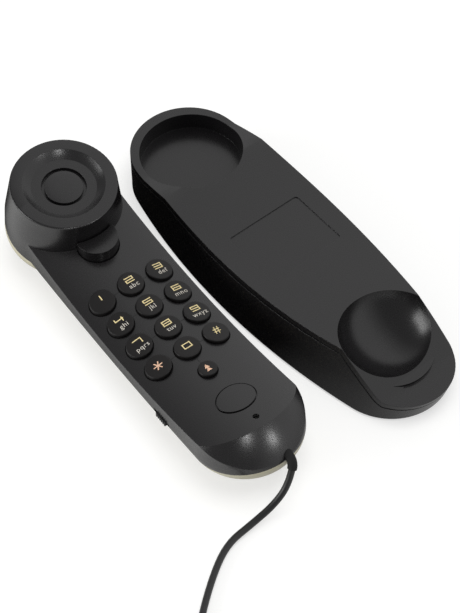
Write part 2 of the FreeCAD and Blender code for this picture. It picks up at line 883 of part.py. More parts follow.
# The two handset covers
def make_covers():
    wall = number("cover_wall")
    tower_hollow = tower("tower_hollow", wall)
    tower_wall = cut("tower_wall", tower("tower_outer", 0), tower_hollow)
    length_hollow = length_piece("length_hollow", wall, 0.3)
    length_wall = cut("length_wall", length_piece("length_outer", 0), length_hollow)
    length_shell = cut("length_shell", length_wall, tower_hollow)
    end_shell = cut("end_shell", end_piece("end_outer", 0, 180), end_piece("end_hollow", wall, 360))

    def zone_shell(name, zone):
        """The three joined walls of one cover."""
        tower_part = cut(name + "_tower", common(name + "_tower_wall", tower_wall, zone), length_hollow)
        length_part = common(name + "_length", length_shell, zone)
        end_part = common(name + "_end", end_shell, zone)
        return fuse(name, length_part, end_part, tower_part)

    front = zone_shell("front_shell", level_band("above_parting", -60, "front_depth"))
    hook_slot = hook_shape("hook_slot", "hook_radius + hook_gap")
    hook_room = common("hook_room", hook_slot, face_band("hook_room_layer", -12, 8))
    gland_hole = rod("gland_hole", "gland_radius + 0.05", 30, 80, "gland_side", "gland_height", Vector(1, 0, 0))
    mic_hole = cylinder("mic_hole", "mic_hole_radius", 20, "mic_place", "0", "mic_top")
    openings = fuse(
        "front_openings", key_wells(), hook_room, badge_seat(), mic_hole, slide_slot(), gland_hole, sound_holes(),
    )
    posts = fuse("posts", *[
        cylinder(f"post_{index}", 2.4, 40, x, y, "board_height + board_thick")
        for index, (x, y) in enumerate(POSTS)
    ])
    posts_trimmed = common("posts_trimmed", posts, below_face("posts_layer", 1))
    pilots = fuse("post_pilots", *[
        cylinder(f"post_pilot_{index}", "cover_screw_radius", "cover_screw_length", x, y, "cover_screw_seat")
        for index, (x, y) in enumerate(POSTS)
    ])
    pierced = cut("front_pierced", front, openings)
    bored_posts = cut("posts_bored", posts_trimmed, pilots)
    handset_node(fuse("front_whole", pierced, bored_posts), "handset_front_cover")
    back = zone_shell("back_shell", level_band("below_parting", "front_depth", 60))
    lip_inside = trough_length("lip_inside", wall + number("lip_wall"))
    lip_length = box("lip_length", 106, 80, 60, 9, 0, 0)
    lip_top = common(
        "lip_top",
        cut("lip_top_ring", trough_length("lip_top_outside", wall + 0.1), lip_inside),
        level_band("lip_top_zone", "front_depth - lip_height", "front_depth + 1"),
        lip_length,
    )
    lip_root = common(
        "lip_root",
        cut("lip_root_ring", trough_length("lip_root_outside", wall - 0.5), lip_inside),
        level_band("lip_root_zone", "front_depth + 0.5", "front_depth + 2"),
        lip_length,
    )
    lip_gap = box("lip_slide_gap", 18, 16, 12, "slide_place", "-22", "slide_height - 6")
    lip = cut("lip_open", fuse("lip", lip_top, lip_root), lip_gap)
    bosses = fuse("bosses", *[
        cylinder(f"boss_{index}", 3.4, "board_height", x, y, 0)
        for index, (x, y) in enumerate(POSTS)
    ])
    seat = cut(
        "ringer_seat",
        cylinder("ringer_seat_outer", "ringer_radius - 1", "ringer_height", "ringer_place", "0", 0),
        cylinder("ringer_seat_inner", "ringer_radius - 2.5", "ringer_height + 1", "ringer_place", "0", 0),
    )
    grown = common("back_grown", fuse("back_stands", bosses, seat), trough_length("stand_trim", 1))
    sunk = fuse("screw_sinks", *[
        cylinder(f"screw_sink_{index}", "cover_screw_head + 0.3", "cover_screw_seat", x, y, 0)
        for index, (x, y) in enumerate(POSTS)
    ])
    bored = fuse("screw_bores", *[
        cylinder(f"screw_bore_{index}", "cover_screw_radius", 20, x, y, 0)
        for index, (x, y) in enumerate(POSTS)
    ])
    solid = fuse("back_solid", back, lip, grown)
    cord_way = rod("cord_way", "gland_radius + 0.05", 30, 80, "gland_side", "gland_height", Vector(1, 0, 0))
    handset_node(cut("back_whole", solid, fuse("back_holes", sunk, bored, cord_way)), "handset_back_cover")


def make_inside_back():
    """Ringer disc and the screws that hold the covers together."""
    ringer = cylinder("ringer", "ringer_radius", 1.2, "ringer_place", "0", "ringer_height")
    handset_node(ringer, "ringer_disc")
    screws = []
    for index, (x, y) in enumerate(POSTS):
        head = cylinder(f"screw_head_{index}", "cover_screw_head", 1.6, x, y, "cover_screw_seat - 1.6")
        shank = cylinder(f"screw_shank_{index}", "cover_screw_radius", "cover_screw_length", x, y, "cover_screw_seat")
        screws.append(fuse(f"screw_{index}", head, shank))
    group = doc.addObject("Part::Compound", "cover_screw_group")
    group.Links = screws
    handset_node(group, "cover_screws")


POSTS = (("45", "19"), ("45", "-19"), ("-36", "19"), ("-36", "-19"))


# Cradle
def oval_path(far, tip, half_width, far_radius, tip_radius):
    """A long oval of two end arcs and two side arcs that meet them smoothly, as corner points."""
    far_centre, tip_centre = far + far_radius, tip - tip_radius
    span = tip_centre - far_centre

    def gap(place):
        """How far the side arc's two radii differ when its centre stands at a place."""
        near_radius = side_radius(place - far_centre, far_radius)
        return near_radius - side_radius(tip_centre - place, tip_radius)

    def side_radius(reach, end_radius):
        return (reach**2 + half_width**2 - end_radius**2) / (2 * (half_width - end_radius))

    low, high = far_centre, tip_centre
    for _ in range(60):
        place = (low + high) / 2
        if (gap(low) < 0) == (gap(place) < 0):
            low = place
        else:
            high = place
    radius = side_radius(place - far_centre, far_radius)
    depth = radius - half_width

    def tangent(centre, end_radius):
        way = math.atan2(depth, centre - place)
        return centre + end_radius * math.cos(way), end_radius * math.sin(way)

    far_meet, tip_meet = tangent(far_centre, far_radius), tangent(tip_centre, tip_radius)
    side_middle = (place, half_width)
    return [
        (far_meet[0], -far_meet[1]),
        ((place, -half_width), (tip_meet[0], -tip_meet[1])),
        ((tip, 0), tip_meet),
        (side_middle, far_meet),
        ((far, 0), (far_meet[0], -far_meet[1])),
    ]


def cradle_block(name, inset):
    """The cradle's flared body, from its foot to above its rim."""
    body = doc.addObject("PartDesign::Body", name)
    sections = []
    levels = (
        ("base_height", "cradle_far", "cradle_tip", "base_half_width", "base_end_radius", "base_end_radius"),
        ("block_height", "top_far", "top_tip", "top_half_width", "top_far_radius", "top_tip_radius"),
    )
    for index, (height, far, tip, half, far_radius, tip_radius) in enumerate(levels):
        path = oval_path(
            number(far) + inset,
            number(tip) - inset,
            number(half) - inset,
            number(far_radius) - inset,
            number(tip_radius) - inset,
        )
        sketch = outline(body, f"{name}_level_{index}", "XY_Plane", path)
        sketch.setExpression("AttachmentOffset.Base.z", formula(height))
        sections.append(sketch)
    loft = body.newObject("PartDesign::AdditiveLoft", name + "_loft")
    loft.Profile = sections[0]
    loft.Sections = sections[1:]
    loft.Ruled = True
    return body


def bed_sag(x, drop):
    """Height of the bed's long hollow curve, less a drop."""
    return number("bed_height") - drop + (x - number("bed_middle")) ** 2 / (2 * number("bed_sag_radius"))


def top_line(drop):
    """The top's outline seen from the side, from the far end to the tip."""
    far, tip = number("far_shoulder"), number("tip_shoulder")
    middle = number("bed_middle")
    return [
        (-125.0, f"far_land_height - {drop}"),
        ("far_land", f"far_land_height - {drop}"),
        (far, bed_sag(far, drop)),
        ((middle, bed_sag(middle, drop)), (tip, bed_sag(tip, drop))),
        ("tip_land", f"tip_land_height - {drop}"),
        (125.0, f"tip_land_height - 0.6 - {drop}"),
    ]


def under_top(name, drop):
    """Everything below the top's outline."""
    return extruded(name, "XZ_Plane", top_line(drop) + [(125.0, -10.0), (-125.0, -10.0)], 120)


def ball(name, radius, x, z):
    thing = doc.addObject("Part::Sphere", name)
    bind(thing, Radius=radius)
    move(thing, x, "0", z)
    return thing


def make_tray():
    block = cradle_block("tray_block", 0)
    under = under_top("tray_under", 0)
    deck = cut("tray_deck", common("tray_solid", block, under), under_top("tray_below", number("tray_thick")))
    inner = cradle_block("tray_inner", number("hull_wall") + 0.15)
    cup = cylinder("recess_cup", "recess_radius + tray_thick", 60, "recess_centre", "0", "recess_floor - tray_thick")
    shell = ball("bowl_shell", "bowl_radius + tray_thick", "bowl_centre", "bowl_height")
    boss = cylinder("bowl_boss", "boss_radius", "tip_land_height + boss_rise - 6", "bowl_centre", "0", 6)
    lip_wall = cut("tray_lip_wall", inner, cradle_block("tray_lip_inner", number("hull_wall") + 1.6))
    lip_zone = cut("tray_lip_zone", under_top("tray_lip_top", 1.0), under_top("tray_lip_low", number("tray_thick") + 3))
    lip = common("tray_lip", lip_wall, lip_zone)
    cups = common("tray_cups", fuse("tray_cup_pair", cup, shell), inner, under)
    raised = common("tray_boss", boss, inner)
    posts = fuse("tray_posts", *[
        cylinder(f"tray_post_{index}", 3.0, "bed_height + 0.6 - base_height - plate_thick", x, y, "base_height + plate_thick")
        for index, (x, y) in enumerate(CRADLE_POSTS)
    ])
    solid = fuse("tray_filled", deck, lip, cups, raised, posts)
    well = cylinder("recess_well", "recess_radius", 40, "recess_centre", "0", "recess_floor")
    bowl = ball("bowl_hollow", "bowl_radius", "bowl_centre", "bowl_height")
    card = common("card_pocket", card_prism(), cut("card_layer", under_top("card_up", -5), under_top("card_low", number("card_depth"))))
    pilots = fuse("tray_pilots", *[
        cylinder(f"tray_pilot_{index}", "screw_radius", 12, x, y, "base_height + plate_thick")
        for index, (x, y) in enumerate(CRADLE_POSTS)
    ])
    cradle_node(cut("tray_whole", solid, fuse("tray_hollows", well, bowl, card, pilots)), "cradle_tray")


CRADLE_POSTS = (("-38", "20"), ("-38", "-20"), ("40", "20"), ("40", "-20"))


def card_prism():
    """The rounded square where a card lies in the bed."""
    prism = box("card_box", "card_length", "card_width", 60, "card_place", "0", 0)
    doc.recompute()
    rounded = doc.addObject("Part::Fillet", "card_round")
    rounded.Base = prism
    radius = number("card_corner")
    upright = [
        index for index, edge in enumerate(prism.Shape.Edges, start=1)
        if edge.BoundBox.ZLength > 50
    ]
    rounded.Edges = [(index, radius, radius) for index in upright]
    return rounded


def make_hull():
    wall = cut("hull_ring", cradle_block("hull_block", 0), cradle_block("hull_inner", number("hull_wall")))
    low = under_top("hull_top", number("tray_thick") + number("shadow_gap"))
    cradle_node(common("hull_trim", wall, low), "cradle_hull")


def make_base():
    inner = cradle_block("plate_block", number("hull_wall") + 0.2)
    layer = box("plate_layer", 260, 120, "plate_thick", 0, 0, "base_height")
    plate = common("plate_raw", inner, layer)
    bores = fuse("plate_bores", *[
        cylinder(f"plate_bore_{index}", "screw_radius + 0.2", 8, x, y, 0)
        for index, (x, y) in enumerate(CRADLE_POSTS)
    ])
    sinks = fuse("plate_sinks", *[
        cylinder(f"plate_sink_{index}", "screw_head_radius + 0.2", 1.2, x, y, "base_height - 0.2")
        for index, (x, y) in enumerate(CRADLE_POSTS)
    ])
    cradle_node(cut("plate_whole", plate, fuse("plate_holes", bores, sinks, foot_seats())), "cradle_base_plate")
    screws = []
    for index, (x, y) in enumerate(CRADLE_POSTS):
        head = cylinder(f"base_screw_head_{index}", "screw_head_radius", 1.0, x, y, "base_height")
        shank = cylinder(f"base_screw_shank_{index}", "screw_radius", 11, x, y, "base_height + 1.0")
        screws.append(fuse(f"base_screw_{index}", head, shank))
    group = doc.addObject("Part::Compound", "base_screw_group")
    group.Links = screws
    cradle_node(group, "cradle_screws")
    ballast = box(
        "ballast", "ballast_length", "ballast_width - 14", "ballast_thick", 1, 0, "base_height + plate_thick",
    )
    cradle_node(ballast, "cradle_ballast")


def foot_places():
    return [
        (f"{side} * foot_reach", f"{row} * foot_spread")
        for side in (-1, 1)
        for row in (-1, 1)
    ]


def foot_seats():
    """Shallow rounds in the plate that hold the feet."""
    return fuse("foot_seats", *[
        cylinder(f"foot_seat_{index}", "foot_radius + 0.1", 2, x, y, "foot_thick - 2")
        for index, (x, y) in enumerate(foot_places())
    ])


def make_feet():
    group = doc.addObject("Part::Compound", "foot_group")
    group.Links = [
        cylinder(f"foot_{index}", "foot_radius", "foot_thick", x, y, 0)
        for index, (x, y) in enumerate(foot_places())
    ]
    cradle_node(group, "cradle_feet")


# Line cord, with its put-away coil, tie and plug
CORD_RUN = (
    (100.3, -48.9, 14.8),
    (100.9, -57.4, 7.4),
    (100.0, -69.4, 2.6),
    (100.4, -84.4, 1.75),
    (110.4, -101.4, 1.75),
    (125.4, -120.4, 2.0),
)


def coil_point(turn):
    """A place on the coil: it winds in, climbs, winds out and climbs again."""
    inner, step, lift = (number(text) for text in ("coil_inner_radius", "coil_step", "coil_lift"))
    turns = number("coil_turns")
    left, layer = turn, 0
    while left > turns + 0.5:
        left -= turns + 0.5
        layer += 1
    wound = min(left, turns)
    radius = inner + step * (turns - wound if layer % 2 == 0 else wound)
    climb = max(left - turns, 0) / 0.5
    height = number("coil_height") + lift * (layer + climb)
    angle = 2 * math.pi * turn - math.pi / 2
    return Vector(
        number("coil_x") + radius * math.cos(angle),
        number("coil_y") + radius * math.sin(angle),
        height,
    )


def coil_way(turn, ends):
    """The direction of the coil, level and square to the radius at its two ends."""
    if turn in ends:
        return Vector(1, 0, 0)
    return (coil_point(turn + 0.002) - coil_point(turn - 0.002)).normalize()


def make_coil():
    last = number("coil_turns * 4 + 1.5")
    ends = (0, last)
    stations = [index / 4 for index in range(int(round(last * 4)) + 1)]
    lead = number("cord_radius") * 2
    start, finish_at = coil_point(0), coil_point(last)
    plug_at = Vector(number("plug_x"), finish_at.y, number("plug_axis"))
    curves = [Part.LineSegment(start - Vector(lead, 0, 0), start)]
    for here, there in zip(stations, stations[1:]):
        curves += biarc(coil_point(here), coil_way(here, ends), coil_point(there), coil_way(there, ends))
    forward = Vector(1, 0, 0)
    curves += biarc(finish_at, forward, plug_at - forward * lead, forward)
    curves.append(Part.LineSegment(plug_at - forward * lead, plug_at))
    centres = [coil_point(last * index / 1600) for index in range(1601)]
    gap = least_gap(centres[::2], number("cord_radius"), 30)
    print(f"coil: least gap to itself {gap:.2f} mm")
    node(feature("cord_coil", tube(curves, number("cord_radius"), 8)), "cord_coil")
    return start - Vector(lead, 0, 0), plug_at


def make_cord():
    coil_start, plug_at = make_coil()
    yaw = Rotation(Vector(0, 0, 1), number("handset_yaw"))
    placed = Placement(Vector(number("handset_x"), number("handset_y"), 0), yaw)
    start, end, way = gland_bend()
    exit_at = placed.multVec(end + way * 0.3)
    points = [exit_at] + [Vector(*point) for point in CORD_RUN]
    points += [coil_start - Vector(22, 0, 0), coil_start]
    node(feature("line_cord", tube(rounded_route(points), number("cord_radius"))), "line_cord")
    make_tie()
    make_plug(plug_at)


def make_tie():
    """A band round one side of the coil."""
    layers = 4
    radius, lift = number("cord_radius"), number("coil_lift")
    inner = number("coil_inner_radius") - radius - 1.0
    outer = number("coil_inner_radius + coil_step * coil_turns") + radius + 0.2
    height = number("coil_height") + lift * (layers - 1) + radius + 0.1
    band = number("tie_thick")
    width = outer - inner
    frame = doc.addObject("Part::Box", "tie_frame")
    frame.Length = width + 2 * band
    frame.Width = number("tie_width")
    frame.Height = height + band
    frame.Placement.Base = Vector(inner - band, -number("tie_width") / 2, 0)
    hole = doc.addObject("Part::Box", "tie_hole")
    hole.Length = width
    hole.Width = number("tie_width") + 4
    hole.Height = height - band
    hole.Placement.Base = Vector(inner, -number("tie_width") / 2 - 2, band)
    centre = Vector(number("coil_x"), number("coil_y"), 0)
    swing = Rotation(Vector(0, 0, 1), number("tie_angle"))
    node(cut("tie_band", frame, hole), "cord_tie", Placement(centre, swing))


def make_plug(place):
    """A small clear modular plug with its latch."""
    case = box("plug_case", "plug_length", "plug_width", "plug_height", "plug_length / 2", "0", 0)
    block = box("latch_root", 2, 4, 1.2, "plug_length - 1", "0", "plug_height")
    latch = box("latch_tongue", "plug_length - 3", 4, 0.9, "plug_length / 2 + 1.5", "0", "plug_height + 0.8")
    whole = fuse("plug_whole", case, block, latch)
    node(whole, "line_plug", Placement(Vector(place.x, place.y, 0), Rotation()))


def finish():
    """Check every object and piece, then write the pieces."""
    doc.recompute()
    for thing in doc.Objects:
        for state in thing.State:
            if state in ("Invalid", "Error"):
                raise RuntimeError(f"{thing.Name} is {state}")
    os.makedirs("parts", exist_ok=True)
    for label, thing in nodes:
        shape = thing.Shape
        if shape.isNull() or not shape.isValid() or shape.Volume <= 0:
            raise RuntimeError(f"{label} has no sound solid")
        box_of = shape.BoundBox
        print(f"{label}: {len(shape.Solids)} solids, {shape.Volume / 1000:.2f} cm3, z {box_of.ZMin:.2f} to {box_of.ZMax:.2f}")
        shape.exportStep(f"parts/{label}.step")


make_covers()
make_keys(
    face_band("cap_layer", "-key_rise", "key_flange_top + 0.6"),
    face_band("flange_layer", "key_flange_top", "key_depth"),
)
make_mat()
make_board()
make_hook(face_band("hook_flange_layer", "hook_flange_top", "hook_flange_top + hook_flange_thick"))
make_hook_switch()
make_spring(number("spring_top"))
make_slide()
make_mic()
make_badge()
make_earpiece()
make_gland()
make_tray()
make_hull()
make_base()
make_feet()
make_inside_back()
make_cord()
finish()
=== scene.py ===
import math

import bpy
from mathutils import Matrix, Vector


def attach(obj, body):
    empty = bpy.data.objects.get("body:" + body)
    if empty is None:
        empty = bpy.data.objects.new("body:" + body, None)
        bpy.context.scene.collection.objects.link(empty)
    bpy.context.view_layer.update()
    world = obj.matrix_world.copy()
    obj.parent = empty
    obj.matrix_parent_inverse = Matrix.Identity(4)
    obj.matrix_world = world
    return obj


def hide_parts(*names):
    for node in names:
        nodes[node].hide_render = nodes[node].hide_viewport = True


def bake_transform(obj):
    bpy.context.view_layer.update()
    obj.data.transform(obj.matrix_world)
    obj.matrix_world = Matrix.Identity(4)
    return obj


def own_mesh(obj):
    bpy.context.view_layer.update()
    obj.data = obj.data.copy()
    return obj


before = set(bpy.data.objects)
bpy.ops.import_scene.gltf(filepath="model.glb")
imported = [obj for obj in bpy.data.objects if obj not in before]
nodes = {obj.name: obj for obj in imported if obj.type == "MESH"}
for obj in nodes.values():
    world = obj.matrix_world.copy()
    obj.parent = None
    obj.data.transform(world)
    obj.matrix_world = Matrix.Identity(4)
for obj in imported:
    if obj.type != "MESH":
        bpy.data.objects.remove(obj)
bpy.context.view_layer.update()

MM = 0.001

# Where the handset lies, in metres, and its keys, in millimetres
HANDSET_AT = Vector((1.365, -42.695, 0)) * MM
HANDSET_YAW = math.radians(-2.96)
ROW_PITCH, COLUMN_PITCH = 15.0, 16.0
KEY_RADIUS, KEY_GAP = 6.2, 0.35
REDIAL_PLACE, REDIAL_RADIUS = 38.3, 4.4


# Camera at the photograph's viewing angle
def make_camera():
    focal_pixels, height_pixels = 1587.0, 613.0
    data = bpy.data.cameras.new("photo_camera")
    data.sensor_fit = "VERTICAL"
    data.sensor_height = 24.0
    data.lens = data.sensor_height * focal_pixels / height_pixels
    data.clip_end = 20.0
    camera = bpy.data.objects.new("photo_camera", data)
    bpy.context.scene.collection.objects.link(camera)
    target = Vector((1.365, -0.395, 0)) * MM
    place = target + Vector((351.5, -289.8, 615.8)) * MM
    camera.location = place
    camera.rotation_euler = (target - place).to_track_quat("-Z", "Y").to_euler()
    bpy.context.scene.camera = camera


make_camera()


# Line cord: gland, floor, put-away coil, plug
CORD_DIAMETER = 3.2 * MM
CORD_RUN = (
    (98.26, -45.51, 21.43),
    (100.3, -48.9, 14.8),
    (100.9, -57.4, 7.4),
    (100.0, -69.4, 2.6),
    (100.4, -84.4, 1.75),
    (110.4, -101.4, 1.75),
    (125.4, -120.4, 2.0),
    (143.2, -137.29, 2.6),
    (165.2, -137.29, 2.6),
)
COIL_CENTRE = (168.4, -112.2)
COIL_INNER, COIL_STEP, COIL_LIFT, COIL_HEIGHT = 9.5, 4.3, 3.8, 2.6
COIL_LAYERS, COIL_TURNS, CLIMB_TURNS = 4, 3.625, 0.5
PLUG_FACE = (223.0, 3.3)


def coil_points():
    """Control points of the coil: it winds in, climbs, winds out and climbs again."""
    per_turn = 14
    total = COIL_LAYERS * COIL_TURNS + (COIL_LAYERS - 1) * CLIMB_TURNS
    spread = 1 / math.cos(math.pi / per_turn)
    points = []
    for index in range(int(round(total * per_turn)) + 1):
        turn = index / per_turn
        left, layer = turn, 0
        while left > COIL_TURNS + CLIMB_TURNS:
            left -= COIL_TURNS + CLIMB_TURNS
            layer += 1
        wound = min(left, COIL_TURNS)
        radius = COIL_INNER + COIL_STEP * (COIL_TURNS - wound if layer % 2 == 0 else wound)
        climb = max(left - COIL_TURNS, 0) / CLIMB_TURNS
        angle = 2 * math.pi * turn - math.pi / 2
        points.append((
            COIL_CENTRE[0] + radius * spread * math.cos(angle),
            COIL_CENTRE[1] + radius * spread * math.sin(angle),
            COIL_HEIGHT + COIL_LIFT * (layer + climb),
        ))
    return points


def cord_points():
    """The whole cord: down to the floor, round the coil and off its top to the plug."""
    coil = coil_points()
    end_y = coil[-1][1]
    top, low = coil[-1][2], PLUG_FACE[1]
    start, face = coil[-1][0], PLUG_FACE[0]
    tail = [
        (start + 12, end_y, top),
        (start + 24, end_y, top - 2.5),
        (face - 18, end_y, low + 0.6),
        (face - 8, end_y, low),
        (face, end_y, low),
    ]
    return list(CORD_RUN) + coil + tail


def as_mesh(curve):
    bpy.context.view_layer.update()
    return bpy.data.meshes.new_from_object(curve.evaluated_get(bpy.context.evaluated_depsgraph_get()))


def make_cord():
    """One smooth tube, in place of the cord's solids."""
    data = bpy.data.curves.new("line_cord_curve", "CURVE")
    data.dimensions = "3D"
    data.resolution_u = 6
    spline = data.splines.new("NURBS")
    points = cord_points()
    spline.points.add(len(points) - 1)
    for point, place in zip(spline.points, points):
        point.co = (*(Vector(place) * MM), 1)
    spline.order_u = 3
    spline.use_endpoint_u = True
    curve = bpy.data.objects.new("line_cord_curve", data)
    bpy.context.scene.collection.objects.link(curve)
    path = [vertex.co.copy() for vertex in as_mesh(curve).vertices]
    data.bevel_depth = CORD_DIAMETER / 2
    data.bevel_resolution = 4
    data.use_fill_caps = True
    mesh = as_mesh(curve)
    tube = bpy.data.objects.new("line_cord_tube", mesh)
    bpy.context.scene.collection.objects.link(tube)
    bpy.data.objects.remove(curve)
    for polygon in mesh.polygons:
        polygon.use_smooth = True
    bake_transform(tube)
    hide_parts("line_cord", "cord_coil")
    return tube


cord_tube = make_cord()


# Colours and nodes
def colour(code):
    """A linear colour from an sRGB hex code."""
    channels = [int(code[index:index + 2], 16) / 255 for index in (1, 3, 5)]
    return tuple(c / 12.92 if c <= 0.04045 else ((c + 0.055) / 1.055) ** 2.4 for c in channels) + (1.0,)


def add(tree, kind, inputs=None, **settings):
    """Add a node, with its settings, values and links."""
    node = tree.nodes.new("ShaderNode" + kind)
    for name, value in settings.items():
        setattr(node, name, value)
    for name, value in (inputs or {}).items():
        if isinstance(value, bpy.types.NodeSocket):
            tree.links.new(value, node.inputs[name])
        else:
            node.inputs[name].default_value = value
    return node


def maths(tree, operation, first, second):
    """The output of a maths node."""
    return add(tree, "Math", {0: first, 1: second}, operation=operation).outputs[0]


def seen_rays(tree):
    """The kinds of ray, and those that show a surface: from the camera, mirrored or through clear plastic."""
    ray = add(tree, "LightPath").outputs
    seen = maths(tree, "MAXIMUM", ray["Is Camera Ray"], ray["Is Glossy Ray"])
    return ray, maths(tree, "MAXIMUM", seen, ray["Is Transmission Ray"])


def new_material(name):
    material = bpy.data.materials.new(name)
    material.use_nodes = True
    material.node_tree.nodes.clear()
    return material, material.node_tree


def finish_material(tree, shader):
    add(tree, "OutputMaterial", {"Surface": shader.outputs["BSDF"]})


def per_metre(millimetres):
    """A pattern's scale from the real size of one of its features."""
    return 1.0 / (millimetres * MM)


CLOUD_SIZE = 38
GRAIN_HEIGHT = 0.06 * MM


def moulded_plastic(name, dark, light, roughness, spread, grain, depth, specular=0.5, edge=0.0):
    """Moulded plastic: a nearly even colour, a fine moulded grain that softens its gloss, and eased edges."""
    material, tree = new_material(name)
    place = add(tree, "TexCoord").outputs["Object"]
    cloud = add(tree, "TexNoise", {"Vector": place, "Scale": per_metre(CLOUD_SIZE), "Detail": 3.0})
    grit = add(tree, "TexNoise", {"Vector": place, "Scale": per_metre(grain), "Detail": 2.0})
    tint = add(tree, "MixRGB", {"Fac": cloud.outputs["Fac"], "Color1": colour(dark), "Color2": colour(light)})
    rough = add(tree, "MapRange", {
        "Value": grit.outputs["Fac"], "From Min": 0.3, "From Max": 0.7,
        "To Min": roughness - spread, "To Max": roughness + spread,
    })
    bump = add(tree, "Bump", {"Height": grit.outputs["Fac"], "Strength": depth, "Distance": GRAIN_HEIGHT})
    if edge:
        ease = add(tree, "Bevel", {"Radius": edge * MM}, samples=6)
        tree.links.new(ease.outputs["Normal"], bump.inputs["Normal"])
    shader = add(tree, "BsdfPrincipled", {
        "Base Color": tint.outputs["Color"],
        "Roughness": rough.outputs["Result"],
        "Normal": bump.outputs["Normal"],
        "IOR": 1.53,
        "Specular IOR Level": specular,
    })
    finish_material(tree, shader)
    return material


def bright_metal(name, code, roughness, grain):
    """Plain metal: drawn or turned, with fine streaks in its shine."""
    material, tree = new_material(name)
    place = add(tree, "TexCoord").outputs["Object"]
    streak = add(tree, "TexNoise", {"Vector": place, "Scale": per_metre(grain), "Detail": 4.0})
    rough = add(tree, "MapRange", {
        "Value": streak.outputs["Fac"], "To Min": roughness - 0.08, "To Max": roughness + 0.1,
    })
    shader = add(tree, "BsdfPrincipled", {
        "Base Color": colour(code), "Metallic": 1.0, "Roughness": rough.outputs["Result"],
    })
    finish_material(tree, shader)
    return material


def legend_paint(name, code, worn):
    """Screen-printed ink on the keys: flat, a little uneven in cover."""
    material, tree = new_material(name)
    place = add(tree, "TexCoord").outputs["Object"]
    cover = add(tree, "TexNoise", {"Vector": place, "Scale": per_metre(0.6), "Detail": 2.0})
    tint = add(tree, "MixRGB", {"Fac": cover.outputs["Fac"], "Color1": colour(code), "Color2": colour(worn)})
    shader = add(tree, "BsdfPrincipled", {"Base Color": tint.outputs["Color"], "Roughness": 0.6})
    finish_material(tree, shader)
    return material


def clear_plastic(name):
    """Clear polycarbonate of the plug: pale and see-through, sharp in its shine."""
    material, tree = new_material(name)
    place = add(tree, "TexCoord").outputs["Object"]
    haze = add(tree, "TexNoise", {"Vector": place, "Scale": per_metre(4), "Detail": 2.0})
    rough = add(tree, "MapRange", {"Value": haze.outputs["Fac"], "To Min": 0.08, "To Max": 0.2})
    shader = add(tree, "BsdfPrincipled", {
        "Base Color": colour("#d9dedc"), "Roughness": rough.outputs["Result"],
        "IOR": 1.58, "Transmission Weight": 0.6,
    })
    finish_material(tree, shader)
    return material


# Finishes: dark and light tint, roughness and its spread, grain in millimetres and its depth, specular level
satin_abs = moulded_plastic("satin_black_abs", "#0f0e0f", "#141314", 0.27, 0.05, 0.45, 0.10, edge=0.25)
key_abs = moulded_plastic("matte_black_key_abs", "#100f0f", "#151313", 0.42, 0.05, 0.35, 0.12, 0.28, edge=0.4)
cream_abs = moulded_plastic("cream_abs", "#cfc9ae", "#d8d2b9", 0.38, 0.05, 0.5, 0.10)
dark_abs = moulded_plastic("dark_abs", "#121212", "#191919", 0.55, 0.06, 0.4, 0.15)
black_rubber = moulded_plastic("black_rubber", "#161616", "#1d1d1d", 0.75, 0.06, 0.4, 0.25, 0.3)
grey_rubber = moulded_plastic("grey_silicone", "#6f706c", "#7a7b77", 0.7, 0.06, 0.5, 0.2, 0.35)
board_green = moulded_plastic("solder_masked_board", "#1c5330", "#236038", 0.35, 0.06, 0.8, 0.1)
cord_pvc = moulded_plastic("black_pvc_cord", "#131313", "#191919", 0.42, 0.06, 0.5, 0.12)
steel = bright_metal("bright_steel", "#b9bab9", 0.32, 0.5)
ballast_steel = bright_metal("plain_steel", "#8d8e8e", 0.5, 1.5)
capsule_metal = bright_metal("capsule_aluminium", "#c4c5c4", 0.38, 0.8)
ringer_brass = bright_metal("ringer_brass", "#c9a75a", 0.35, 0.8)
plug_clear = clear_plastic("clear_polycarbonate")
digit_ink = legend_paint("cream_digit_ink", "#e9d9a4", "#d3c08c")
letter_ink = legend_paint("pale_letter_ink", "#d6d1c6", "#b9b3a8")
redial_ink = legend_paint("rose_redial_ink", "#e3bd9f", "#cfa58a")
# Painted shade: near black, for flat strips laid where the grooves between the keys hold shade
painted_groove_shade = moulded_plastic("painted_groove_shade_abs", "#070707", "#0a0a0a", 0.5, 0.05, 0.5, 0.05)

# Which piece has which finish
KEY_NAMES = (
    ("key_1", "key_2", "key_3"),
    ("key_4", "key_5", "key_6"),
    ("key_7", "key_8", "key_9"),
    ("key_star", "key_0", "key_hash"),
)

FINISHES = {
    satin_abs: (
        "handset_front_cover", "cradle_tray", "cradle_hull", "oval_badge", "hook_plunger", "earpiece_disc",
    ),
    key_abs: [name for row in KEY_NAMES for name in row] + ["redial_key"],
    cream_abs: ("handset_back_cover",),
    dark_abs: ("cradle_base_plate", "hook_switch", "slide_switch", "ringer_slide"),
    black_rubber: ("cradle_feet", "microphone_boot", "cord_gland", "cord_tie"),
    grey_rubber: ("keypad_mat",),
    board_green: ("main_board",),
    steel: ("hook_spring", "cover_screws", "cradle_screws"),
    ballast_steel: ("cradle_ballast",),
    capsule_metal: ("receiver_capsule", "microphone"),
    ringer_brass: ("ringer_disc",),
    plug_clear: ("line_plug",),
}


JOIN_DISTANCE = 0.002 * MM
SHARP_ANGLE = math.radians(28)


def paint(thing, material):
    thing.data.materials.clear()
    thing.data.materials.append(material)


def dress_node(thing, material):
    """Give a solid its finish and smooth shading between its sharp edges."""
    paint(thing, material)
    for layer in ("custom_normal", "sharp_edge"):
        if layer in thing.data.attributes:
            thing.data.attributes.remove(thing.data.attributes[layer])
    for polygon in thing.data.polygons:
        polygon.use_smooth = True
    weld = thing.modifiers.new("join_facets", "WELD")
    weld.merge_threshold = JOIN_DISTANCE
    split = thing.modifiers.new("keep_sharp_edges", "EDGE_SPLIT")
    split.split_angle = SHARP_ANGLE
    split.use_edge_sharp = False


for material, names in FINISHES.items():
    for name in names:
        dress_node(nodes[name], material)
paint(cord_tube, cord_pvc)


